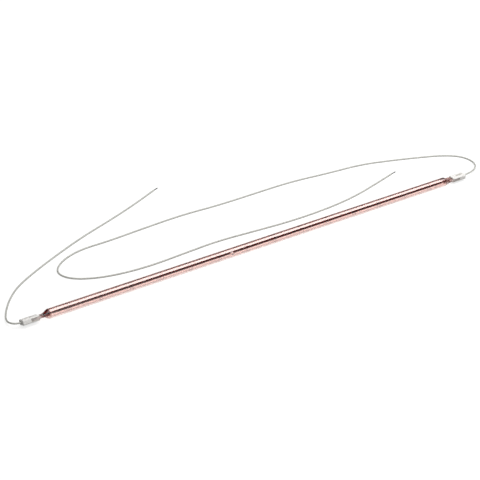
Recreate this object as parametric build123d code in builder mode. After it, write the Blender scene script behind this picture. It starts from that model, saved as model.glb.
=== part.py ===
from build123d import *
import os
from math import asin, cos, degrees, radians, sin, tan

# A quartz infrared halogen lamp, lying on a flat surface. A coated quartz tube holds a tungsten coil
# on its axis. Each end is pressed flat to seal it, sits in a slotted ceramic cap, and has a flying lead.
# Millimetres. +X runs along the tube from the short lead's end to the long lead's end, +Y points to
# the side where the leads lie, and +Z points up. The origin lies below the middle of the tube.

# Quartz tube, straight between its two shoulders
tube_diameter = 10.0
tube_wall = 1.0
tube_length = 500.0

# Shoulder, where the round tube runs into the flat pinch, and the hollow that tapers inside it
shoulder_length = 8.0
hollow_taper_length = 6.0
hollow_slit_width = 5.0
hollow_slit_height = 1.6

# Pinch seal. The jaws leave a rim along each edge and press the middle a little thinner.
pinch_width = 8.6
pinch_thickness = 2.8
pinch_length = 12.5
pinch_rim_width = 1.2
pinch_press_depth = 0.3
pinch_press_inset = 1.2

# How far each pinch is turned about the tube's axis, in degrees, with its +Y edge up
short_end_roll = -18.0
long_end_roll = 6.0

# Exhaust tip, the sealed stub of the pipe that the lamp was filled through
tip_position = -39.0
tip_elevation = 20.0
tip_base_radius = 1.7
tip_height = 2.0
tip_end_radius = 0.55

# Tungsten coil, wound on the rods that carry it at its two ends
coil_wire = 0.5
coil_end_gap = 5.0
rod_diameter = 1.0
rod_grip = 3.0

# Wire supports that keep the coil on the axis, with a ring and an eye bent in short flats
support_count = 14
support_wire = 0.3
support_clearance = 0.2
support_end_margin = 17.5
ring_flats = 16
eye_flats = 8
support_gap = 3.0
support_turn = 137.0

# Molybdenum foil in the pinch, with a rod welded to it at each end
foil_width = 2.4
foil_thickness = 0.1
foil_length = 8.5
foil_inset = 2.0
weld_length = 1.5
weld_flat_depth = 0.08

# Crimp between the outer rod and the lead's conductor
rod_reach = 3.3
crimp_length = 3.8
crimp_wall = 0.5

# Ceramic cap
cap_width = 8.6
cap_thickness = 5.6
cap_length = 18.0
cap_corner_radius = 1.6
cap_edge_chamfer = 0.4
slot_depth = 9.5
slot_side_clearance = 0.2
slot_end_clearance = 1.0
chamber_diameter = 3.2
chamber_length = 5.0
lead_bore_clearance = 0.1
window_length = 8.5
window_width = 2.2
window_end_wall = 3.0

# Cement that fixes the pinch in the cap and fills the chamber over the crimp
cement_setback = 0.6

# Flying leads, bare at the far end
lead_diameter = 1.8
lead_flats = 12
lead_insert = 3.6
conductor_diameter = 1.0
bare_length = 8.0
bare_end_chamfer = 0.2

# Sizes that follow from the ones above
tube_radius = tube_diameter / 2
bore_radius = tube_radius - tube_wall
half_length = tube_length / 2
coil_diameter = rod_diameter + 2 * coil_wire
coil_half_length = half_length - coil_end_gap
support_radius = bore_radius - support_clearance
slot_height = pinch_thickness + 2 * slot_side_clearance
lead_bore_diameter = lead_diameter + 2 * lead_bore_clearance
crimp_diameter = max(rod_diameter, conductor_diameter) + 2 * crimp_wall
foil_offset = rod_diameter / 2 - weld_flat_depth + foil_thickness / 2

# Places along each end, measured outwards from where the tube stops being straight
pinch_start = shoulder_length
pinch_end = pinch_start + pinch_length
foil_start = pinch_start + foil_inset
inner_rod_start = -coil_end_gap - rod_grip
inner_rod_end = foil_start + weld_length
outer_rod_start = foil_start + foil_length - weld_length
outer_rod_end = pinch_end + rod_reach
crimp_start = outer_rod_end - crimp_length / 2
slot_end = pinch_end + slot_end_clearance
cap_start = slot_end - slot_depth
cap_end = cap_start + cap_length
chamber_end = slot_end + chamber_length
lead_start = cap_end - lead_insert

# Routes of the leads: how far each point lies beyond the cap's end face, then its place to +Y,
# then its height. Past the first few points they lie on the surface under the lamp.
lying = lead_diameter / 2
short_lead_route = [
    (3.8, 0.0, tube_diameter / 2), (8.4, 6.6, 4.1), (7.3, 15.2, 2.6), (2.6, 25.5, 1.5), (-5.6, 38.0, 1.0),
    (-18.0, 53.5, lying), (-36.0, 70.5, lying), (-63.5, 87.0, lying), (-99.0, 105.0, lying),
    (-143.0, 125.5, lying), (-190.0, 143.0, lying), (-234.0, 161.0, lying), (-268.5, 177.5, lying),
]
long_lead_route = [
    (7.0, 0.0, tube_diameter / 2), (22.0, 6.0, 3.6), (35.0, 16.5, 2.0), (41.5, 31.0, 1.1),
    (39.0, 47.5, lying), (24.0, 61.0, lying), (0.0, 72.0, lying), (-30.0, 84.0, lying),
    (-66.0, 96.3, lying), (-110.0, 99.8, lying), (-158.0, 106.4, lying), (-208.0, 105.8, lying),
    (-256.0, 105.0, lying), (-302.0, 108.4, lying), (-350.0, 106.0, lying), (-398.0, 102.5, lying),
    (-431.0, 103.2, lying), (-459.0, 93.5, lying), (-478.0, 75.0, lying), (-474.0, 55.0, lying),
    (-453.0, 41.0, lying), (-425.0, 33.5, lying), (-390.0, 31.0, lying), (-350.0, 33.6, lying),
    (-308.0, 36.0, lying), (-266.0, 32.2, lying), (-222.0, 28.4, lying), (-174.0, 29.0, lying),
    (-130.0, 34.5, lying), (-90.0, 45.5, lying), (-55.0, 56.5, lying),
]

# The axis of the tube, with the tube resting on the surface, and the frame of each end:
# its Z points outwards along the axis, its X along the pinch's width, its Y through its thickness
tube_axis = Plane(origin=(0, 0, tube_radius), x_dir=(0, 1, 0), z_dir=(1, 0, 0))


def end_frame(side, roll):
    turn = radians(roll)
    return Plane(
        origin=(side * half_length, 0, tube_radius),
        x_dir=(0, side * cos(turn), side * sin(turn)),
        z_dir=(side, 0, 0),
    )


ends = {
    "short": end_frame(-1, short_end_roll),
    "long": end_frame(1, long_end_roll),
}

os.makedirs("parts", exist_ok=True)

# The quartz is one piece: tube, shoulders, pinches and exhaust tip, hollow up to the seals
with BuildPart() as quartz_envelope:
    with BuildSketch(tube_axis.offset(-half_length)):
        Circle(tube_radius)
    extrude(amount=tube_length)

    for end in ends.values():
        with BuildSketch(end):
            Circle(tube_radius)
        with BuildSketch(end.offset(pinch_start)):
            SlotOverall(pinch_width, pinch_thickness)
        loft()
        with BuildSketch(end.offset(pinch_start)):
            SlotOverall(pinch_width, pinch_thickness)
        extrude(amount=pinch_length)
        with BuildSketch(end.offset(pinch_start + pinch_press_inset)):
            with GridLocations(0, pinch_thickness, 1, 2):
                Rectangle(pinch_width - 2 * pinch_rim_width, 2 * pinch_press_depth)
        extrude(amount=pinch_length - pinch_press_inset, mode=Mode.SUBTRACT)

    # The tip's half outline is drawn outwards from the axis and turned about the direction it points in
    tip_direction = Vector(0, -cos(radians(tip_elevation)), sin(radians(tip_elevation)))
    tip_plane = Plane(
        origin=(tip_position, 0, tube_radius),
        x_dir=tip_direction,
        z_dir=tip_direction.cross(Vector(1, 0, 0)),
    )
    tip_root = tube_radius - tube_wall / 2
    tip_top = tube_radius + tip_height
    tip_neck = tip_top - tip_end_radius
    with BuildSketch(tip_plane):
        with BuildLine():
            Polyline((tip_top, 0), (tip_root, 0), (tip_root, tip_base_radius), (tube_radius, tip_base_radius))
            Spline(
                (tube_radius, tip_base_radius),
                (tip_neck, tip_end_radius),
                (tip_top, 0),
                tangents=((0.2, -1), (0, -1)),
            )
        make_face()
    revolve(axis=Axis(tip_plane.origin, tip_plane.x_dir))

    with BuildSketch(tube_axis.offset(-half_length)):
        Circle(bore_radius)
    extrude(amount=tube_length, mode=Mode.SUBTRACT)

    for end in ends.values():
        with BuildSketch(end):
            Circle(bore_radius)
        with BuildSketch(end.offset(hollow_taper_length)):
            Ellipse(hollow_slit_width / 2, hollow_slit_height / 2)
        loft(mode=Mode.SUBTRACT)
        with BuildSketch(end.offset(hollow_taper_length / 2)):
            Circle(rod_diameter / 2)
        extrude(amount=inner_rod_end - hollow_taper_length / 2, mode=Mode.SUBTRACT)
        with BuildSketch(end.offset(outer_rod_start)):
            Circle(rod_diameter / 2)
        extrude(amount=pinch_end - outer_rod_start, mode=Mode.SUBTRACT)
        with BuildSketch(end.offset(foil_start)):
            with Locations((0, foil_offset)):
                Rectangle(foil_width, foil_thickness)
        extrude(amount=foil_length, mode=Mode.SUBTRACT)
quartz_envelope.part.label = "quartz_envelope"
export_step(quartz_envelope.part, "parts/quartz_envelope.step")

# The coil's plain body: its turns fill the space from the rods' size to one wire further out
with BuildPart() as filament_coil:
    with BuildSketch(tube_axis.offset(-coil_half_length)):
        Circle(coil_diameter / 2)
        Circle(rod_diameter / 2, mode=Mode.SUBTRACT)
    extrude(amount=2 * coil_half_length)
filament_coil.part.label = "filament_coil"
export_step(filament_coil.part, "parts/filament_coil.step")

# Each support is an open ring in the bore, an eye round the coil and a leg between them,
# and is turned by the same angle from the one before. The ring is open just before the leg.
support_span = 2 * (coil_half_length - support_end_margin)
support_pitch = support_span / (support_count - 1)
ring_radius = support_radius - support_wire / 2
eye_radius = coil_diameter / 2 + support_wire
support_gap_angle = 2 * degrees(asin(support_gap / 2 / ring_radius))
for number in range(support_count):
    place = number * support_pitch - support_span / 2
    leg_angle = support_turn * number
    with BuildPart() as filament_support:
        with BuildSketch(tube_axis.offset(place - support_wire / 2)):
            RegularPolygon(support_radius, ring_flats, rotation=leg_angle)
            RegularPolygon(support_radius - support_wire, ring_flats, rotation=leg_angle, mode=Mode.SUBTRACT)
            with PolarLocations(ring_radius, 1, start_angle=leg_angle - support_gap_angle / 2):
                Rectangle(4 * support_wire, support_gap, mode=Mode.SUBTRACT)
            RegularPolygon(eye_radius, eye_flats, major_radius=False, rotation=leg_angle)
            with PolarLocations((coil_diameter / 2 + ring_radius) / 2, 1, start_angle=leg_angle):
                Rectangle(ring_radius - coil_diameter / 2, support_wire)
            RegularPolygon(
                coil_diameter / 2, eye_flats, major_radius=False, rotation=leg_angle, mode=Mode.SUBTRACT
            )
        extrude(amount=support_wire)
    filament_support.part.label = f"filament_support_{number + 1:02d}"
    export_step(filament_support.part, f"parts/{filament_support.part.label}.step")


def bend_radii(points):
    """The largest even bend at each inner point: 0.45 of the shorter run over the tangent of half the turn."""
    radii = []
    for before, corner, after in zip(points, points[1:], points[2:]):
        turn = (corner - before).get_angle(after - corner)
        shorter = min((corner - before).length, (after - corner).length)
        radii.append(0.45 * shorter / tan(radians(turn / 2)))
    return radii


lead_routes = {"short": short_lead_route, "long": long_lead_route}
for name, end in ends.items():
    with BuildPart() as sealing_foil:
        with BuildSketch(end.offset(foil_start)):
            with Locations((0, foil_offset)):
                Rectangle(foil_width, foil_thickness)
        extrude(amount=foil_length)
    sealing_foil.part.label = f"{name}_end_sealing_foil"

    # Both rods have a flat where the foil is welded on
    with BuildPart() as inner_rod:
        with BuildSketch(end.offset(inner_rod_start)):
            Circle(rod_diameter / 2)
        extrude(amount=inner_rod_end - inner_rod_start)
        add(sealing_foil.part, mode=Mode.SUBTRACT)
    inner_rod.part.label = f"{name}_end_inner_rod"

    with BuildPart() as outer_rod:
        with BuildSketch(end.offset(outer_rod_start)):
            Circle(rod_diameter / 2)
        extrude(amount=outer_rod_end - outer_rod_start)
        add(sealing_foil.part, mode=Mode.SUBTRACT)
    outer_rod.part.label = f"{name}_end_outer_rod"

    # The conductor of the lead meets the outer rod inside the crimp
    with BuildPart() as conductor_tail:
        with BuildSketch(end.offset(outer_rod_end)):
            Circle(conductor_diameter / 2)
        extrude(amount=lead_start - outer_rod_end)
    conductor_tail.part.label = f"{name}_lead_conductor_tail"

    with BuildPart() as crimp:
        with BuildSketch(end.offset(crimp_start)):
            Circle(crimp_diameter / 2)
        extrude(amount=crimp_length)
        for joined in (outer_rod, conductor_tail):
            add(joined.part, mode=Mode.SUBTRACT)
    crimp.part.label = f"{name}_end_crimp"

    # The cap is a block with a fork that takes the pinch, a chamber for the crimp, a window in its
    # upper broad face that the cement goes in by, and a bore for the lead
    with BuildPart() as ceramic_cap:
        with BuildSketch(end.offset(cap_start)):
            RectangleRounded(cap_width, cap_thickness, cap_corner_radius)
        extrude(amount=cap_length)
        outline = ceramic_cap.faces().sort_by(Axis(end.origin, end.z_dir))
        chamfer([*outline[0].edges(), *outline[-1].edges()], length=cap_edge_chamfer)
        with BuildSketch(end.offset(cap_start)):
            Rectangle(2 * cap_width, slot_height)
        extrude(amount=slot_depth, mode=Mode.SUBTRACT)
        with BuildSketch(end.offset(slot_end)):
            Circle(chamber_diameter / 2)
        extrude(amount=chamber_length, mode=Mode.SUBTRACT)
        with BuildSketch(end.offset(chamber_end)):
            Circle(lead_bore_diameter / 2)
        extrude(amount=cap_end - chamber_end, mode=Mode.SUBTRACT)
        window_centre = cap_end - window_end_wall - window_length / 2
        window_plane = Plane(
            origin=end.origin + end.z_dir * window_centre,
            x_dir=end.z_dir,
            z_dir=end.y_dir,
        )
        with BuildSketch(window_plane):
            SlotOverall(window_length, window_width)
        extrude(amount=cap_thickness, mode=Mode.SUBTRACT)
    ceramic_cap.part.label = f"{name}_end_ceramic_cap"

    with BuildPart() as lead:
        exit_point = end.origin + end.z_dir * cap_end
        points = [end.origin + end.z_dir * lead_start]
        for beyond, across, height in lead_routes[name]:
            points.append(Vector(exit_point.X + end.z_dir.X * beyond, across, height))
        radii = bend_radii(points)
        with BuildLine() as lead_path:
            FilletPolyline(*points, radius=radii)
        with BuildSketch(Plane(origin=points[0], z_dir=points[1] - points[0])) as lead_section:
            RegularPolygon(lead_diameter / 2, lead_flats)
        sweep()
    lead.part.label = f"{name}_lead"
    route_length = sum(edge.length for edge in lead_path.edges())
    expected = lead_section.sketch.area * route_length
    print(f"{name} lead: {route_length:.1f} mm, volume {lead.part.volume / expected:.5f} of section times length")
    print("  bend radii", [round(radius, 1) for radius in radii])

    with BuildPart() as bare_end:
        with BuildSketch(Plane(origin=points[-1], z_dir=points[-1] - points[-2])):
            Circle(conductor_diameter / 2)
        extrude(amount=bare_length)
        chamfer(bare_end.edges().sort_by_distance(points[-1])[-1], length=bare_end_chamfer)
    bare_end.part.label = f"{name}_lead_bare_end"

    # The cement takes what is left round the pinch, the crimp and the lead
    with BuildPart() as cement:
        with BuildSketch(end.offset(cap_start + cement_setback)):
            Rectangle(cap_width - 2 * cement_setback, slot_height)
        extrude(amount=slot_depth - cement_setback)
        with BuildSketch(end.offset(slot_end)):
            Circle(chamber_diameter / 2)
        extrude(amount=chamber_length)
        with BuildSketch(window_plane):
            SlotOverall(window_length, window_width)
        extrude(amount=cap_thickness / 2 - cement_setback)
        with BuildSketch(end.offset(cap_start)):
            SlotOverall(pinch_width, pinch_thickness)
            with GridLocations(0, pinch_thickness, 1, 2):
                Rectangle(pinch_width - 2 * pinch_rim_width, 2 * pinch_press_depth, mode=Mode.SUBTRACT)
        extrude(amount=pinch_end - cap_start, mode=Mode.SUBTRACT)
        for piece in (outer_rod, crimp, conductor_tail, lead):
            add(piece.part, mode=Mode.SUBTRACT)
    cement.part.label = f"{name}_end_cement"

    for piece in (sealing_foil, inner_rod, outer_rod, conductor_tail, crimp, ceramic_cap, lead, bare_end, cement):
        export_step(piece.part, f"parts/{piece.part.label}.step")
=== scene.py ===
import bpy
import numpy as np
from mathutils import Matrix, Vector


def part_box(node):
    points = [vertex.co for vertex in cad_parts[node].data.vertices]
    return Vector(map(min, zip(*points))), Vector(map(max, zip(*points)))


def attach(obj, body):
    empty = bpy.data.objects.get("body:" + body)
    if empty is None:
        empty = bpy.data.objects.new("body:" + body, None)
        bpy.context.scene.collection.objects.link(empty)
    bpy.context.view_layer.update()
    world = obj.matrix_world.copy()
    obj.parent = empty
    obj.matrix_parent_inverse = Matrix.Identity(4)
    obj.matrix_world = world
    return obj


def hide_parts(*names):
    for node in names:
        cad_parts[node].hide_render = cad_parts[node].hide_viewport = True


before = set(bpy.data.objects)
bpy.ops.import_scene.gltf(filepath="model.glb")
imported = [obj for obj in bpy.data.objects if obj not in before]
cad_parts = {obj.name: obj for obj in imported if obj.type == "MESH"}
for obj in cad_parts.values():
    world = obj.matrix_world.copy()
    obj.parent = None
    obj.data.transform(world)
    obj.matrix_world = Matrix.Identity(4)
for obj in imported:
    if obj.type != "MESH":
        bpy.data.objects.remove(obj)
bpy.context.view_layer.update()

# A quartz infrared lamp with a ruby coat, lying on a pale floor. Metres, in the frame of the packed
# model: +X runs along the tube towards the long lead's end, and +Z points up.
MM = 0.001

# Quartz tube. Its straight part reaches half its length to each side of the lamp's middle.
TUBE_RADIUS = 5.0 * MM
BORE_RADIUS = 4.0 * MM
HALF_LENGTH = 250.0 * MM
AXIS_HEIGHT = TUBE_RADIUS

# Each end, measured outwards from where the tube stops being straight. The pinch's broad faces are
# pressed in between their rims, the hollow ends in a slit of these half sizes, and each pinch is
# turned about the tube by its roll.
SHOULDER_LENGTH = 8.0 * MM
PINCH_END = 20.5 * MM
PINCH_WIDTH = 8.6 * MM
PINCH_THICKNESS = 2.8 * MM
PRESS_HALF_WIDTH = 3.1 * MM
PRESS_DEPTH = 0.3 * MM
PRESS_START = 9.2 * MM
PRESS_RAMP = 0.35 * MM
PINCH_EDGE = 0.18 * MM
HOLLOW_END = 6.0 * MM
HOLLOW_SLIT = (2.5 * MM, 0.8 * MM)
ROLL = {"short": np.radians(-18.0), "long": np.radians(6.0)}
SIDE = {"short": -1.0, "long": 1.0}

# Sealing foil in each pinch, thinned to its two edges, to one side of the pinch's middle
FOIL_START = 10.0 * MM
FOIL_END = 18.5 * MM
FOIL_HALF_WIDTH = 1.2 * MM
FOIL_HALF_THICKNESS = 0.05 * MM
FOIL_EDGE = 0.008 * MM
FOIL_OFFSET = 0.47 * MM

# Exhaust tip, a melted stub on the camera's side of the tube. Its angle runs about the tube from +Y
# upwards, and the tube's skin is drawn finer that far round and along from it.
TIP_PLACE = -39.0 * MM
TIP_ANGLE = np.radians(160.0)
TIP_HEIGHT = 2.0 * MM
TIP_SPREAD = 1.45 * MM
TIP_POWER = 2.2
TIP_FINE_TURN = np.radians(26.0)
TIP_FINE_REACH = 2.6 * MM

# Ruby coat: its colour along the tube, then at distances past the straight tube's ends, in millimetres.
# Both shoulders are dark red on their upper side only. That red is painted shade, standing in for the dark
# room that those faces mirror. On the long end it starts 4 mm before the straight tube ends, so the painted
# shade cuts the highlight short there. The short end's low side is darker in a ring. The tube's colour ends
# one blend before an end's first colour, and the low side turns into the upper one between the two heights of
# the break, measured from the axis.
COAT = "#ecd5d0"
COAT_TOP_WITH_PAINTED_SHADE = {
    "short": [
        (0.5, "#5a1009"), (5.0, "#5a0b06"), (7.0, "#a0443c"), (10.5, "#c79a92"), (12.0, "#e2d8d5"),
    ],
    "long": [
        (-4.0, "#7a362e"), (-2.0, "#8e4c44"), (7.2, "#ac6c64"), (8.8, "#e6ccc6"), (12.5, "#e6dad6"),
    ],
}
COAT_LOW = {
    "short": [
        (1.0, "#f3dfd8"), (4.4, "#f0dcd5"), (5.0, "#8a2e2c"), (6.6, "#8a2e2c"), (7.6, "#dcbab4"),
        (12.0, "#e2d8d5"),
    ],
    "long": [(2.0, "#ecd6cf"), (12.5, "#e6dad6")],
}
COAT_BLEND = 0.5
COAT_BREAK = (-0.6 * MM, 0.8 * MM)

# The coat's tint where it is crossed at a slant, first on the low side and then on the upper one, with the
# slant at which it starts on each. It is partly the coat's own deeper tint over a longer way, and partly
# painted shade for the dark room seen at the tube's edges, starting earlier on the upper side. A slant is 0
# straight on and 1 along the surface.
COAT_SLANT = ("#744e48", "#945b53")
COAT_SLANT_START = (0.56, 0.33)
COAT_SLANT_FULL = 0.67

# What the coat leaves of light that shines through to other things
COAT_SHADOW = "#faf4f2"

# Gloss of the quartz and of its coat, whose gloss fades over that stretch about the tube's ends. The
# pressed pinches are slightly milky.
QUARTZ_IOR = 1.458
QUARTZ_ROUGHNESS = 0.02
COAT_IOR = 1.8
SHOULDER_GLOSS = 0.08
SHOULDER_FADE = (-1.0 * MM, 1.5 * MM)
PINCH_CLEARNESS = 0.55

# Tungsten coil. It is drawn in over the grip at each end, round the rod that carries it, and widens
# over the ease next to that.
COIL_WIRE_RADIUS = 0.26 * MM
COIL_RADIUS = 1.0 * MM
COIL_END_RADIUS = 0.78 * MM
COIL_HALF_LENGTH = 247.0 * MM
COIL_PITCH = 0.545 * MM
COIL_END_PITCH = 0.54 * MM
COIL_GRIP = 4.0 * MM
COIL_EASE = 2.0 * MM

# Wire supports of the coil. Each is turned one step on from the one before it, and its eye creeps
# along the coil by that many wire radii in a turn.
SUPPORT_NODES = sorted(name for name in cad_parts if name.startswith("filament_support"))
SUPPORT_WIRE_RADIUS = 0.15 * MM
SUPPORT_RING_RADIUS = 3.65 * MM
SUPPORT_RING_TURN = np.radians(312.0)
SUPPORT_STEP = np.radians(137.0)
SUPPORT_EYE_TURNS = 1.6
SUPPORT_EYE_CREEP = 2.1

# Leads. The cap's end face and the lead's start in the cap are measured as the ends above are. The
# route of each is repeated from the part's source, as how far a point lies beyond the cap's end face,
# then its place to +Y, then its height, in millimetres. LYING is the height of a lead on the floor.
CAP_END = 30.0 * MM
LEAD_START = 26.4 * MM
LEAD_RADIUS = 0.9 * MM
LYING = 0.9
ROUTE = {
    "short": [
        (3.8, 0.0, 5.0), (8.4, 6.6, 4.1), (7.3, 15.2, 2.6), (2.6, 25.5, 1.5), (-5.6, 38.0, 1.0),
        (-18.0, 53.5, LYING), (-36.0, 70.5, LYING), (-63.5, 87.0, LYING), (-99.0, 105.0, LYING),
        (-143.0, 125.5, LYING), (-190.0, 143.0, LYING), (-234.0, 161.0, LYING), (-268.5, 177.5, LYING),
    ],
    "long": [
        (7.0, 0.0, 5.0), (22.0, 6.0, 3.6), (35.0, 16.5, 2.0), (41.5, 31.0, 1.1), (39.0, 47.5, LYING),
        (24.0, 61.0, LYING), (0.0, 72.0, LYING), (-30.0, 84.0, LYING), (-66.0, 96.3, LYING),
        (-110.0, 99.8, LYING), (-158.0, 106.4, LYING), (-208.0, 105.8, LYING), (-256.0, 105.0, LYING),
        (-302.0, 108.4, LYING), (-350.0, 106.0, LYING), (-398.0, 102.5, LYING), (-431.0, 103.2, LYING),
        (-459.0, 93.5, LYING), (-478.0, 75.0, LYING), (-474.0, 55.0, LYING), (-453.0, 41.0, LYING),
        (-425.0, 33.5, LYING), (-390.0, 31.0, LYING), (-350.0, 33.6, LYING), (-308.0, 36.0, LYING),
        (-266.0, 32.2, LYING), (-222.0, 28.4, LYING), (-174.0, 29.0, LYING), (-130.0, 34.5, LYING),
        (-90.0, 45.5, LYING), (-55.0, 56.5, LYING),
    ],
}

# Bare end of each lead: its strands start inside the sleeve, each is cut at its share of the bare
# length, and they spread and sink towards the cut
BARE_LENGTH = 8.0 * MM
STRAND_RADIUS = 0.165 * MM
STRAND_TWIST = 9.0 * MM
STRAND_START = -0.5 * MM
STRAND_CUTS = (0.97, 1.0, 0.94, 0.985, 0.95, 0.99, 0.96)
STRAND_SPREAD = 0.35
STRAND_SPREAD_START = 0.45
STRAND_SAG = 0.35 * MM

# Sides round each section, and steps along the longer skins
TUBE_SIDES = 112
TUBE_STEPS = 61
COIL_SIDES = 6
COIL_STEPS = 12500
SUPPORT_SIDES = 8
ROD_SIDES = 24
FOIL_SIDES = 32
STRAND_SIDES = 8
STRAND_STEPS = 40

# Fired and set minerals: their clouds are that many grains wide, and the darker colour turns into the
# brighter one over that range of grain times cloud
CLOUD_GRAINS = 8
MINERAL_RANGE = (0.14, 0.36)

# Lead's sleeve: its two greys, and its weave, drawn coarser than the real 0.3 mm so that it shows
SLEEVE_GREYS = ("#adada7", "#c1c1bb")
WEAVE_GRAIN = 0.5 * MM

# Camera, solved from the tube's two ends and the leads on the floor. Its lens is in millimetres.
CAMERA_PLACE = (-0.9722, -1.2789, 0.8092)
CAMERA_WAY = (0.5322, 0.7194, -0.4462)
CAMERA_LENS = 132.36
SENSOR_WIDTH = 36.0
CAMERA_REACH = 50.0

# Floor: its own colour, and the lift towards white that it gets where it is seen, which grows from the
# first distance round the lamp's middle to the second. Here and below, a strength of 1 is white.
FLOOR_HALF_SIDE = 6.0
FLOOR_COLOUR = "#a4a4a3"
LIFT_COLOUR = "#ffffff"
LIFT_DISTANCE = (0.25, 1.6)
LIFT_STRENGTH = (0.72, 0.97)

# Room: dim, with a soft glow from the front left, whose edge and core are cosines of the angle from its
# middle, and a pale backdrop that fades out between two heights of the way looked along
ROOM_DARK, ROOM_BRIGHT = 0.10, 1.25
ROOM_WAY = (-0.28, -0.89, 0.36)
ROOM_EDGE, ROOM_CORE = 0.63, 0.92
BACKDROP_TOP, BACKDROP_END = 0.14, 0.20

# Softbox above the lamp, towards the long lead's end
SOFTBOX_PLACE = (0.42, -0.11, 1.0)
SOFTBOX_SIZE = (1.7, 0.96)
SOFTBOX_RADIANCE = 3.0


def linear(code):
    """Linear RGBA of an sRGB hex colour: a channel's low end is a straight line, and the rest a power."""
    channels = np.array([int(code[i:i + 2], 16) for i in (1, 3, 5)]) / 255
    values = np.where(channels <= 0.04045, channels / 12.92, ((channels + 0.055) / 1.055) ** 2.4)
    return (*values.tolist(), 1.0)


def add(tree, kind, inputs=None, **settings):
    """Adds a node with its settings. An input is named or numbered, and takes a value or another node's
    output."""
    node = tree.nodes.new(kind)
    for name, value in settings.items():
        setattr(node, name, value)
    for name, value in (inputs or {}).items():
        if isinstance(value, bpy.types.NodeSocket):
            tree.links.new(value, node.inputs[name])
        else:
            node.inputs[name].default_value = value
    return node


def new_material(name):
    """A material with nothing but its output node, and with it its node tree, that node and the Object
    coordinates."""
    material = bpy.data.materials.new(name)
    material.use_nodes = True
    tree = material.node_tree
    tree.nodes.clear()
    output = add(tree, "ShaderNodeOutputMaterial")
    place = add(tree, "ShaderNodeTexCoord").outputs["Object"]
    return material, tree, output, place


def smoothstep(value):
    """Rises from 0 to 1 as the value does, level at both ends: three times its square less twice its cube."""
    clipped = np.clip(value, 0.0, 1.0)
    return clipped * clipped * (3.0 - 2.0 * clipped)


def grid_quads(rows, columns):
    """Quads of a grid whose last column joins the first. They face outwards where the rows run along the
    way that the columns turn round by the right hand."""
    row = np.arange(rows - 1)[:, None]
    column = np.arange(columns)[None, :]
    after = (column + 1) % columns
    corners = (
        row * columns + column,
        row * columns + after,
        (row + 1) * columns + after,
        (row + 1) * columns + column,
    )
    return np.stack(np.broadcast_arrays(*corners), axis=-1).reshape(-1, 4)


def closed_shell(rings, inward=False):
    """Vertices and faces of a closed skin over rings of points, an array of rows by columns by 3. A point
    in the middle of the first ring and one in the last close it. An inward shell faces its own inside."""
    rows, columns = rings.shape[:2]
    middles = [rings[0].mean(axis=0), rings[-1].mean(axis=0)]
    vertices = np.concatenate([rings.reshape(-1, 3), middles])
    column = np.arange(columns)
    after = (column + 1) % columns
    first = np.stack([after, column, np.full(columns, rows * columns)], axis=-1)
    base = (rows - 1) * columns
    last = np.stack([base + column, base + after, np.full(columns, rows * columns + 1)], axis=-1)
    faces = [*grid_quads(rows, columns).tolist(), *first.tolist(), *last.tolist()]
    if inward:
        faces = [face[::-1] for face in faces]
    return vertices, faces


def make_piece(name, shells, material, nodes):
    """One mesh of several shells, that rides on the lamp's body and stands for its nodes."""
    vertices, faces = [], []
    for points, corners in shells:
        start = sum(len(part) for part in vertices)
        vertices.append(points)
        faces += [[corner + start for corner in face] for face in corners]
    mesh = bpy.data.meshes.new(name)
    mesh.from_pydata(np.concatenate(vertices).tolist(), [], faces)
    mesh.update()
    mesh.shade_smooth()
    piece = bpy.data.objects.new(name, mesh)
    bpy.context.scene.collection.objects.link(piece)
    mesh.materials.append(material)
    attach(piece, "root")
    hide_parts(*nodes)
    return piece


def unit(vectors):
    """Each vector at length one."""
    return vectors / np.linalg.norm(vectors, axis=-1, keepdims=True)


def wire(path, radius, sides, up):
    """Closed skin of a round wire along a path: at each point a ring about the path's direction, which
    starts from the part of up that is square to it. The radius may differ from point to point."""
    along = unit(np.gradient(path, axis=0))
    up = np.broadcast_to(up, path.shape)
    first = unit(up - (up * along).sum(axis=-1, keepdims=True) * along)
    second = np.cross(along, first)
    turn = np.linspace(0, 2 * np.pi, sides, endpoint=False)
    ring = np.cos(turn)[None, :, None] * first[:, None] + np.sin(turn)[None, :, None] * second[:, None]
    thick = np.broadcast_to(radius, len(path))[:, None, None]
    return closed_shell(path[:, None] + thick * ring)


def coat_colour(tree, along, stops):
    """The coat's colour from end to end, for a place along the lamp that runs from 0 to 1: the tube's colour
    in the middle, and towards each end that end's colours from the stops, painted shade among them where the
    stops hold it, each at its distance."""
    reach = HALF_LENGTH + PINCH_END
    places = []
    for end, side in SIDE.items():
        first = stops[end][0][0] - COAT_BLEND
        for distance, colour in [(first, COAT), *stops[end]]:
            places.append((side * (HALF_LENGTH + distance * MM), colour))
    node = add(tree, "ShaderNodeValToRGB", {"Fac": along})
    ramp = node.color_ramp
    for number, (x, colour) in enumerate(sorted(places)):
        position = (x + reach) / (2 * reach)
        stop = ramp.elements[number] if number < 2 else ramp.elements.new(position)
        stop.position, stop.color = position, linear(colour)
    return node.outputs["Color"]


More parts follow.
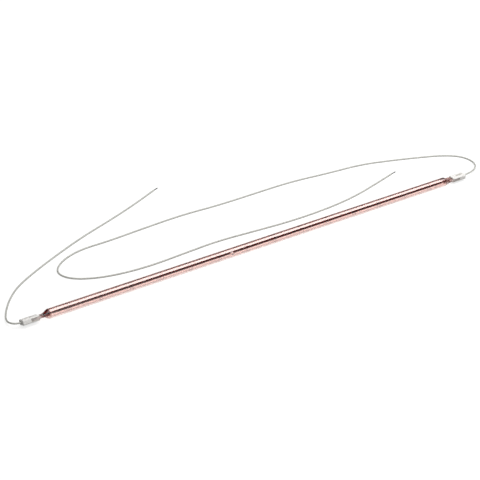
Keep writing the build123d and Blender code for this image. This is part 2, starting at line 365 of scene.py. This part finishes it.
def ruby_quartz():
    """Fused quartz with a ruby heat-ray coat, fired on by dipping. Clear and glossy, rose where it is thin
    over the tube, and deep red on the shoulders, where the wall thickened and where, on their upper side, the
    colour is painted shade for the dark room those faces mirror."""
    material, tree, output, place = new_material("ruby_coated_quartz")
    axes = add(tree, "ShaderNodeSeparateXYZ", {0: place})
    reach = HALF_LENGTH + PINCH_END
    along = add(
        tree, "ShaderNodeMapRange", {"Value": axes.outputs["X"], "From Min": -reach, "From Max": reach},
    )
    upper = add(
        tree, "ShaderNodeMapRange",
        {
            "Value": axes.outputs["Z"],
            "From Min": AXIS_HEIGHT + COAT_BREAK[0], "From Max": AXIS_HEIGHT + COAT_BREAK[1],
        },
        interpolation_type="SMOOTHSTEP",
    )
    # Low side and upper side of the coat; the upper side's dark shoulder colours are painted shade
    coat = add(
        tree, "ShaderNodeMix",
        {
            0: upper.outputs[0],
            6: coat_colour(tree, along.outputs[0], COAT_LOW),
            7: coat_colour(tree, along.outputs[0], COAT_TOP_WITH_PAINTED_SHADE),
        },
        data_type="RGBA",
    )
    # Seen at a slant, the coat is crossed over a longer way, so it tints more there. Past that it is deepened
    # as painted shade at the tube's edges, starting earlier on the upper side.
    slant = add(tree, "ShaderNodeLayerWeight", {"Blend": 0.5})
    start = add(
        tree, "ShaderNodeMapRange",
        {"Value": upper.outputs[0], "To Min": COAT_SLANT_START[0], "To Max": COAT_SLANT_START[1]},
    )
    edge = add(
        tree, "ShaderNodeMapRange",
        {"Value": slant.outputs["Facing"], "From Min": start.outputs[0], "From Max": COAT_SLANT_FULL},
    )
    tint = add(
        tree, "ShaderNodeMix",
        {0: upper.outputs[0], 6: linear(COAT_SLANT[0]), 7: linear(COAT_SLANT[1])},
        data_type="RGBA",
    )
    deep = add(
        tree, "ShaderNodeMix", {0: edge.outputs[0], 6: coat.outputs[2], 7: tint.outputs[2]},
        data_type="RGBA", blend_type="MULTIPLY",
    )
    outwards = add(tree, "ShaderNodeMath", {0: axes.outputs["X"]}, operation="ABSOLUTE")
    milky = add(
        tree, "ShaderNodeMapRange",
        {
            "Value": outwards.outputs[0], "From Min": HALF_LENGTH + SHOULDER_LENGTH,
            "From Max": HALF_LENGTH + PRESS_START, "To Min": 1.0, "To Max": PINCH_CLEARNESS,
        },
    )
    gloss = add(
        tree, "ShaderNodeMapRange",
        {
            "Value": outwards.outputs[0], "From Min": HALF_LENGTH + SHOULDER_FADE[0],
            "From Max": HALF_LENGTH + SHOULDER_FADE[1], "To Min": 1.0, "To Max": SHOULDER_GLOSS,
        },
    )
    glass = add(
        tree, "ShaderNodeBsdfPrincipled",
        {
            "Base Color": deep.outputs[2], "Roughness": QUARTZ_ROUGHNESS, "IOR": QUARTZ_IOR,
            "Transmission Weight": milky.outputs[0], "Coat Weight": gloss.outputs[0],
            "Coat IOR": COAT_IOR, "Coat Roughness": QUARTZ_ROUGHNESS,
        },
    )
    # Light on its way through to something else is only tinted, so that the lamp's shadow stays pale
    light = add(tree, "ShaderNodeLightPath")
    clear = add(tree, "ShaderNodeBsdfTransparent", {"Color": linear(COAT_SHADOW)})
    both = add(
        tree, "ShaderNodeMixShader",
        {0: light.outputs["Is Shadow Ray"], 1: glass.outputs[0], 2: clear.outputs[0]},
    )
    tree.links.new(both.outputs[0], output.inputs["Surface"])
    return material


def metal(name, dark, bright, roughness, grain):
    """A bare metal with a mottled surface: its two colours and its bump follow noise of that grain. Seen
    at a slant it keeps its own tint, in place of going white."""
    material, tree, output, place = new_material(name)
    mottle = add(tree, "ShaderNodeTexNoise", {"Vector": place, "Scale": 1 / grain, "Detail": 3.0})
    colour = add(
        tree, "ShaderNodeMix", {0: mottle.outputs["Fac"], 6: linear(dark), 7: linear(bright)},
        data_type="RGBA",
    )
    bump = add(
        tree, "ShaderNodeBump",
        {"Height": mottle.outputs["Fac"], "Strength": 0.15, "Distance": 0.05 * MM},
    )
    surface = add(
        tree, "ShaderNodeBsdfPrincipled",
        {
            "Base Color": colour.outputs[2], "Metallic": 1.0, "Roughness": roughness,
            "Specular Tint": linear(bright), "Normal": bump.outputs[0],
        },
    )
    tree.links.new(surface.outputs[0], output.inputs["Surface"])
    return material


def mineral(name, dark, bright, roughness, grain, depth):
    """A fired or set mineral: matte, with grains of that size that stand that deep, under broad clouds."""
    material, tree, output, place = new_material(name)
    grains = add(tree, "ShaderNodeTexNoise", {"Vector": place, "Scale": 1 / grain, "Detail": 6.0})
    clouds = add(
        tree, "ShaderNodeTexNoise", {"Vector": place, "Scale": 1 / (CLOUD_GRAINS * grain), "Detail": 2.0},
    )
    mixed = add(
        tree, "ShaderNodeMath", {0: grains.outputs["Fac"], 1: clouds.outputs["Fac"]}, operation="MULTIPLY",
    )
    spread = add(
        tree, "ShaderNodeMapRange",
        {"Value": mixed.outputs[0], "From Min": MINERAL_RANGE[0], "From Max": MINERAL_RANGE[1]},
    )
    colour = add(
        tree, "ShaderNodeMix", {0: spread.outputs[0], 6: linear(dark), 7: linear(bright)},
        data_type="RGBA",
    )
    bump = add(
        tree, "ShaderNodeBump", {"Height": grains.outputs["Fac"], "Strength": 0.35, "Distance": depth},
    )
    surface = add(
        tree, "ShaderNodeBsdfPrincipled",
        {"Base Color": colour.outputs[2], "Roughness": roughness, "Normal": bump.outputs[0]},
    )
    tree.links.new(surface.outputs[0], output.inputs["Surface"])
    return material


def lead_sleeve():
    """Silicone-varnished glass fibre sleeve, woven round the strands. Light grey and satin, with the
    faint unevenness of its weave."""
    material, tree, output, place = new_material("varnished_glass_fibre")
    weave = add(tree, "ShaderNodeTexNoise", {"Vector": place, "Scale": 1 / WEAVE_GRAIN, "Detail": 2.0})
    colour = add(
        tree, "ShaderNodeMix",
        {0: weave.outputs["Fac"], 6: linear(SLEEVE_GREYS[0]), 7: linear(SLEEVE_GREYS[1])},
        data_type="RGBA",
    )
    bump = add(
        tree, "ShaderNodeBump",
        {"Height": weave.outputs["Fac"], "Strength": 0.3, "Distance": 0.08 * MM},
    )
    surface = add(
        tree, "ShaderNodeBsdfPrincipled",
        {"Base Color": colour.outputs[2], "Roughness": 0.5, "Normal": bump.outputs[0]},
    )
    tree.links.new(surface.outputs[0], output.inputs["Surface"])
    return material


def pinch_outline(angle):
    """Outline of the flat pinch at each angle: two round edges joined by straight broad faces. The share of
    a quarter outline's length that a point has gone is the share of the right angle that it has turned."""
    edge = PINCH_THICKNESS / 2
    straight = PINCH_WIDTH / 2 - edge
    round_length = edge * np.pi / 2
    share = np.arctan2(abs(np.sin(angle)), abs(np.cos(angle))) / (np.pi / 2)
    length = share * (round_length + straight)
    bend = np.minimum(length, round_length) / edge
    across = straight + edge * np.cos(bend) - np.maximum(length - round_length, 0.0)
    up = edge * np.sin(bend)
    return across * np.sign(np.cos(angle)), up * np.sign(np.sin(angle))


def end_rings(distance, angle, end, hollow):
    """Rings past the straight tube: a circle that eases into the pinch's outline over the shoulder, or, for
    the hollow, into a flat ellipse. The pinch's broad faces are pressed in between their rims, and near
    the far end each ring shrinks as a quarter circle does, which rounds that end's edge."""
    turned = angle - ROLL[end]
    if hollow:
        share = smoothstep(distance / HOLLOW_END)[:, None]
        across, up = HOLLOW_SLIT[0] * np.cos(turned), HOLLOW_SLIT[1] * np.sin(turned)
        radius = BORE_RADIUS
    else:
        share = smoothstep(distance / SHOULDER_LENGTH)[:, None]
        across, up = pinch_outline(turned)
        radius = TUBE_RADIUS
    across = (1 - share) * radius * np.cos(turned) + share * across
    up = (1 - share) * radius * np.sin(turned) + share * up
    if not hollow:
        press = smoothstep((distance - PRESS_START) / PRESS_RAMP)[:, None]
        press = press * smoothstep((PRESS_HALF_WIDTH - abs(across)) / PRESS_RAMP)
        up = up - np.sign(up) * PRESS_DEPTH * press
    inset = np.clip(((HOLLOW_END if hollow else PINCH_END) - distance) / PINCH_EDGE, 0, 1)
    shrink = PINCH_EDGE * (1 - np.sqrt(inset * (2 - inset)))
    scale = 1 - shrink[:, None] / np.hypot(across, up)
    across, up = across * scale, up * scale
    roll = ROLL[end]
    y = across * np.cos(roll) - up * np.sin(roll)
    z = across * np.sin(roll) + up * np.cos(roll)
    x = np.broadcast_to(SIDE[end] * (HALF_LENGTH + distance)[:, None], y.shape)
    return np.stack([x, y, AXIS_HEIGHT + z], axis=-1)


def tube_rings(along, angle, radius):
    """Rings of the straight tube: a circle of that radius at each place along it."""
    x, turn = np.meshgrid(along, angle, indexing="ij")
    return np.stack([x, radius * np.cos(turn), AXIS_HEIGHT + radius * np.sin(turn)], axis=-1)


def with_exhaust_tip(rings):
    """Moves the tube's points out along the tip's direction by a bell curve of their distance from the
    tip's axis, which gives a melted foot that draws up to a small round point."""
    way = np.array([0.0, np.cos(TIP_ANGLE), np.sin(TIP_ANGLE)])
    side = np.array([0.0, -way[2], way[1]])
    offset = rings - np.array([TIP_PLACE, 0.0, AXIS_HEIGHT])
    distance = np.hypot(offset[..., 0], offset @ side)
    height = TIP_HEIGHT * np.exp(-((distance / TIP_SPREAD) ** TIP_POWER))
    height = np.where(offset @ way > 0, height, 0.0)
    return rings + height[..., None] * way


def quartz_envelope(material):
    """Tube, shoulders, pinches and exhaust tip as one outer skin of rings, and the hollow inside as one
    inner skin. The rings have extra sides and stand closer at the tip."""
    turn = np.linspace(0, 2 * np.pi, TUBE_SIDES, endpoint=False)
    near_tip = TIP_ANGLE + np.linspace(-TIP_FINE_TURN, TIP_FINE_TURN, 66)
    angle = np.unique(np.round(np.concatenate([turn, near_tip]), 4))
    straight = np.linspace(-HALF_LENGTH, HALF_LENGTH, TUBE_STEPS)
    tip = TIP_PLACE + np.linspace(-TIP_FINE_REACH, TIP_FINE_REACH, 60)
    along = np.unique(np.round(np.concatenate([straight, tip]), 7))
    shoulder = np.linspace(0, SHOULDER_LENGTH, 25)[1:]
    pinch = np.concatenate([
        np.linspace(SHOULDER_LENGTH, PRESS_START, 5)[1:],
        PRESS_START + np.linspace(0, PRESS_RAMP, 5)[1:],
        np.linspace(PRESS_START + PRESS_RAMP, PINCH_END - PINCH_EDGE, 12)[1:],
        PINCH_END - PINCH_EDGE * np.cos(np.linspace(0, np.pi / 2, 6))[1:],
    ])
    outside = np.concatenate([shoulder, pinch])
    outer = np.concatenate([
        end_rings(outside[::-1], angle, "short", False),
        with_exhaust_tip(tube_rings(along, angle, TUBE_RADIUS)),
        end_rings(outside, angle, "long", False),
    ])
    taper = np.concatenate([
        np.linspace(0, HOLLOW_END - PINCH_EDGE, 20)[1:],
        HOLLOW_END - PINCH_EDGE * np.cos(np.linspace(0, np.pi / 2, 5))[1:],
    ])
    inner = np.concatenate([
        end_rings(taper[::-1], angle, "short", True),
        tube_rings(straight, angle, BORE_RADIUS),
        end_rings(taper, angle, "long", True),
    ])
    shells = [closed_shell(outer), closed_shell(inner, inward=True)]
    return make_piece("quartz_tube", shells, material, ["quartz_envelope"])


def filament_coil(material):
    """A helix about the tube's axis, drawn in at both ends to grip the two rods: the angle is the sum of
    the small steps along the axis, each divided by the pitch there."""
    last = COIL_HALF_LENGTH - COIL_WIRE_RADIUS
    x = np.linspace(-last, last, COIL_STEPS)
    loose = smoothstep((COIL_HALF_LENGTH - abs(x) - COIL_GRIP) / COIL_EASE)
    pitch = COIL_END_PITCH + (COIL_PITCH - COIL_END_PITCH) * loose
    angle = np.cumsum(2 * np.pi * (x[1] - x[0]) / pitch)
    radius = COIL_END_RADIUS + (COIL_RADIUS - COIL_END_RADIUS) * loose
    out = np.stack([np.zeros(COIL_STEPS), np.cos(angle), np.sin(angle)], axis=-1)
    centre = np.stack([x, np.zeros(COIL_STEPS), np.full(COIL_STEPS, AXIS_HEIGHT)], axis=-1)
    shell = wire(centre + radius[:, None] * out, COIL_WIRE_RADIUS, COIL_SIDES, out)
    return make_piece("tungsten_coil", [shell], material, ["filament_coil"])


def filament_support(node, number, material):
    """One wire bent into an open ring in the bore, a leg to the coil, and an eye wound round the coil. The
    ring keeps its radius, the leg keeps its angle, and the eye creeps along the coil as it turns."""
    low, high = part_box(node)
    middle = (low[0] + high[0]) / 2
    leg = SUPPORT_STEP * number
    eye_radius = COIL_RADIUS + COIL_WIRE_RADIUS + SUPPORT_WIRE_RADIUS
    ring_angle = np.linspace(leg + SUPPORT_RING_TURN, leg, 60)
    leg_radius = np.linspace(SUPPORT_RING_RADIUS, eye_radius, 12)[1:-1]
    eye_angle = np.linspace(leg, leg - SUPPORT_EYE_TURNS * 2 * np.pi, 44)
    angle = np.concatenate([ring_angle, np.full(len(leg_radius), leg), eye_angle])
    radius = np.concatenate([
        np.full(len(ring_angle), SUPPORT_RING_RADIUS), leg_radius, np.full(len(eye_angle), eye_radius),
    ])
    creep = np.maximum(leg - angle, 0) / (2 * np.pi) * SUPPORT_EYE_CREEP * SUPPORT_WIRE_RADIUS
    y, z = radius * np.cos(angle), AXIS_HEIGHT + radius * np.sin(angle)
    path = np.stack([middle + creep, y, z], axis=-1)
    shell = wire(path, SUPPORT_WIRE_RADIUS, SUPPORT_SIDES, np.array([1.0, 0.0, 0.0]))
    return make_piece(f"support_wire_{number + 1:02d}", [shell], material, [node])


def coil_rod(end, material):
    """The drawn rod along the tube's axis that carries the coil's end, with its own edges ground round: a
    circle at each place, whose radius rises from each end as a quarter circle does."""
    node = f"{end}_end_inner_rod"
    low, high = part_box(node)
    radius = (high[1] - low[1]) / 2
    edge = 0.3 * radius
    fall = np.linspace(0, np.pi / 2, 5)
    inset = edge * (1 - np.cos(fall))
    rise = radius - edge + edge * np.sin(fall)
    x = np.concatenate([low[0] + inset, high[0] - inset[::-1]])
    size = np.concatenate([rise, rise[::-1]])
    path = np.stack([x, np.zeros(len(x)), np.full(len(x), AXIS_HEIGHT)], axis=-1)
    shell = wire(path, size, ROD_SIDES, np.array([0.0, 0.0, 1.0]))
    return make_piece(f"{end}_coil_rod", [shell], material, [node])


def sealing_foil(end, material):
    """A foil etched to a feather edge: at each place along it a flat lens, thick in the middle, which thins
    to its two edges by the square of the distance and is rounded there."""
    turn = np.linspace(0, 2 * np.pi, FOIL_SIDES, endpoint=False)
    along = np.linspace(FOIL_START, FOIL_END, 9)
    across = FOIL_HALF_WIDTH * np.cos(turn)
    thick = FOIL_EDGE + (FOIL_HALF_THICKNESS - FOIL_EDGE) * (1 - np.cos(turn) ** 2)
    up = FOIL_OFFSET + thick * np.sign(np.sin(turn)) * np.sqrt(abs(np.sin(turn)))
    roll = ROLL[end]
    y = SIDE[end] * across * np.cos(roll) - up * np.sin(roll)
    z = SIDE[end] * across * np.sin(roll) + up * np.cos(roll)
    x = SIDE[end] * (HALF_LENGTH + along)
    grid = (len(along), len(turn))
    rings = np.stack([
        np.broadcast_to(x[:, None], grid),
        np.broadcast_to(y, grid),
        np.broadcast_to(AXIS_HEIGHT + z, grid),
    ], axis=-1)
    shell = closed_shell(rings)
    return make_piece(f"{end}_foil", [shell], material, [f"{end}_end_sealing_foil"])


def lead_points(end):
    """The lead's start in the cap and its route, in metres in the lamp's frame."""
    start = (SIDE[end] * (HALF_LENGTH + LEAD_START), 0.0, AXIS_HEIGHT)
    face = HALF_LENGTH + CAP_END
    rest = [(SIDE[end] * (face + beyond * MM), y * MM, z * MM) for beyond, y, z in ROUTE[end]]
    return np.array([start, *rest])


def bare_strands(end, material):
    """Strands twisted together: one straight, and the others as helices about it, which spread and sink a
    little and end at uneven lengths at the cut."""
    points = lead_points(end)
    way = unit(points[-1] - points[-2])
    across = unit(np.cross(way, np.array([0.0, 0.0, 1.0])))
    upward = np.cross(across, way)
    shells = []
    for number, cut in enumerate(STRAND_CUTS):
        along = np.linspace(STRAND_START, BARE_LENGTH * cut, STRAND_STEPS)
        spread = STRAND_SPREAD * smoothstep(along / BARE_LENGTH - STRAND_SPREAD_START)
        out = 0.0 if number == 0 else 2 * STRAND_RADIUS * (1 + spread)
        turn = 2 * np.pi * (along / STRAND_TWIST + number / (len(STRAND_CUTS) - 1))
        sag = STRAND_SAG * smoothstep(along / BARE_LENGTH)
        path = (
            points[-1] + along[:, None] * way
            + (out * np.cos(turn))[:, None] * across
            + (out * np.sin(turn) - sag)[:, None] * upward
        )
        shells.append(wire(path, STRAND_RADIUS, STRAND_SIDES, upward))
    return make_piece(f"{end}_strands", shells, material, [f"{end}_lead_bare_end"])


def flying_lead(end, material, strands):
    """The lead's sleeve: a smooth line that the route's points pull into shape, with a round section."""
    line = bpy.data.curves.new(f"{end}_sleeve", "CURVE")
    line.dimensions = "3D"
    line.bevel_depth = LEAD_RADIUS
    line.bevel_resolution = 5
    line.resolution_u = 12
    line.use_fill_caps = True
    points = lead_points(end)
    spline = line.splines.new("NURBS")
    spline.points.add(len(points) - 1)
    for point, place in zip(spline.points, points):
        point.co = (*place, 1.0)
    spline.order_u = 3
    spline.use_endpoint_u = True
    sleeve = bpy.data.objects.new(f"{end}_sleeve", line)
    bpy.context.scene.collection.objects.link(sleeve)
    line.materials.append(material)
    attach(sleeve, "root")
    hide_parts(f"{end}_lead")
    return sleeve


def dress(node, material):
    """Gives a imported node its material."""
    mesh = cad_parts[node].data
    mesh.materials.clear()
    mesh.materials.append(material)


def seen(tree):
    """One where a surface is looked at straight, mirrored or through glass, and nought where it only
    lights other things."""
    light = add(tree, "ShaderNodeLightPath")
    mirrored = add(
        tree, "ShaderNodeMath",
        {0: light.outputs["Is Glossy Ray"], 1: light.outputs["Is Transmission Ray"]}, operation="MAXIMUM",
    )
    either = add(
        tree, "ShaderNodeMath",
        {0: light.outputs["Is Camera Ray"], 1: mirrored.outputs[0]}, operation="MAXIMUM",
    )
    return either.outputs[0]


def make_floor():
    """A plain pale floor, wide enough for every view, lifted to white where it is seen."""
    half = FLOOR_HALF_SIDE
    corners = [(-half, -half, 0), (half, -half, 0), (half, half, 0), (-half, half, 0)]
    mesh = bpy.data.meshes.new("floor")
    mesh.from_pydata(corners, [], [(0, 1, 2, 3)])
    floor = bpy.data.objects.new("floor", mesh)
    bpy.context.scene.collection.objects.link(floor)
    material, tree, output, place = new_material("pale_floor")
    matte = add(tree, "ShaderNodeBsdfDiffuse", {"Color": linear(FLOOR_COLOUR)})
    far = add(tree, "ShaderNodeVectorMath", {0: place}, operation="LENGTH")
    level = add(
        tree, "ShaderNodeMapRange",
        {
            "Value": far.outputs["Value"], "From Min": LIFT_DISTANCE[0], "From Max": LIFT_DISTANCE[1],
            "To Min": LIFT_STRENGTH[0], "To Max": LIFT_STRENGTH[1],
        },
    )
    lift = add(tree, "ShaderNodeMath", {0: seen(tree), 1: level.outputs[0]}, operation="MULTIPLY")
    glow = add(tree, "ShaderNodeEmission", {"Color": linear(LIFT_COLOUR), "Strength": lift.outputs[0]})
    both = add(tree, "ShaderNodeAddShader", {0: matte.outputs[0], 1: glow.outputs[0]})
    tree.links.new(both.outputs[0], output.inputs["Surface"])
    mesh.materials.append(material)


def make_light():
    """One softbox, in a dim room with a soft glow from one side and a pale backdrop round the floor, which
    is there only where it is seen. The softbox's power is its radiance times pi times its area."""
    world = bpy.data.worlds.new("room")
    bpy.context.scene.world = world
    world.use_nodes = True
    tree = world.node_tree
    tree.nodes.clear()
    way = add(tree, "ShaderNodeTexCoord").outputs["Generated"]
    towards = add(tree, "ShaderNodeVectorMath", {0: way, 1: ROOM_WAY}, operation="DOT_PRODUCT")
    room = add(
        tree, "ShaderNodeMapRange",
        {
            "Value": towards.outputs["Value"], "From Min": ROOM_EDGE, "From Max": ROOM_CORE,
            "To Min": ROOM_DARK, "To Max": ROOM_BRIGHT,
        },
        interpolation_type="SMOOTHSTEP",
    )
    height = add(tree, "ShaderNodeSeparateXYZ", {0: way})
    backdrop = add(
        tree, "ShaderNodeMapRange",
        {
            "Value": height.outputs["Z"], "From Min": BACKDROP_TOP, "From Max": BACKDROP_END,
            "To Min": 1.0, "To Max": 0.0,
        },
    )
    shown = add(tree, "ShaderNodeMath", {0: seen(tree), 1: backdrop.outputs[0]}, operation="MULTIPLY")
    strength = add(
        tree, "ShaderNodeMath", {0: room.outputs[0], 1: shown.outputs[0]}, operation="MAXIMUM",
    )
    sky = add(tree, "ShaderNodeBackground", {"Color": (1, 1, 1, 1), "Strength": strength.outputs[0]})
    output = add(tree, "ShaderNodeOutputWorld")
    tree.links.new(sky.outputs[0], output.inputs["Surface"])

    lamp = bpy.data.lights.new("softbox", "AREA")
    lamp.shape = "RECTANGLE"
    lamp.size, lamp.size_y = SOFTBOX_SIZE
    lamp.energy = SOFTBOX_RADIANCE * np.pi * lamp.size * lamp.size_y
    softbox = bpy.data.objects.new("softbox", lamp)
    softbox.location = SOFTBOX_PLACE
    softbox.visible_camera = False
    bpy.context.scene.collection.objects.link(softbox)


def make_camera():
    """The camera, level from side to side, at the photograph's viewing angle."""
    view = bpy.data.cameras.new("camera")
    view.lens = CAMERA_LENS
    view.sensor_width = SENSOR_WIDTH
    view.clip_end = CAMERA_REACH
    camera = bpy.data.objects.new("camera", view)
    camera.location = CAMERA_PLACE
    camera.rotation_euler = Vector(CAMERA_WAY).to_track_quat("-Z", "Y").to_euler()
    bpy.context.scene.collection.objects.link(camera)
    bpy.context.scene.camera = camera


quartz = ruby_quartz()
# Drawn tungsten wire: satin. Darker and redder than bare wire, as it looks through the coat.
tungsten = metal("drawn_tungsten", dark="#58120c", bright="#6c1c14", roughness=0.55, grain=0.6 * MM)
# Rolled molybdenum foil and rod: a smooth grey, with long soft mottles
molybdenum = metal("rolled_molybdenum", dark="#8a8886", bright="#b3b1ad", roughness=0.35, grain=1.2 * MM)
# Satin nickel crimp, pressed from strip: a warm light grey
nickel = metal("satin_nickel", dark="#9a958c", bright="#bdb7ac", roughness=0.4, grain=0.8 * MM)
# Tinned copper strands: dull, and darkened for the shade that such fine strands throw on each other
copper = metal("tinned_copper_strand", dark="#2a2622", bright="#4a443d", roughness=0.4, grain=0.4 * MM)
# Unglazed steatite, dry-pressed and fired: chalky off-white, with fine pores
steatite = mineral(
    "unglazed_steatite", dark="#d6d4d1", bright="#ebe9e6", roughness=0.72, grain=0.25 * MM, depth=0.05 * MM,
)
# Cement, pressed into the caps and set: greyer, rougher and grainier than they are
cement = mineral(
    "set_cement", dark="#a8a69f", bright="#c9c6be", roughness=0.9, grain=0.35 * MM, depth=0.15 * MM,
)
sleeving = lead_sleeve()

quartz_envelope(quartz)
filament_coil(tungsten)
for number, node in enumerate(SUPPORT_NODES):
    filament_support(node, number, tungsten)
for end in SIDE:
    coil_rod(end, tungsten)
    sealing_foil(end, molybdenum)
    dress(f"{end}_end_outer_rod", molybdenum)
    dress(f"{end}_end_crimp", nickel)
    dress(f"{end}_lead_conductor_tail", copper)
    dress(f"{end}_end_ceramic_cap", steatite)
    dress(f"{end}_end_cement", cement)
    flying_lead(end, sleeving, bare_strands(end, copper))

make_floor()
make_light()
make_camera()
bpy.context.scene.view_settings.view_transform = "Standard"
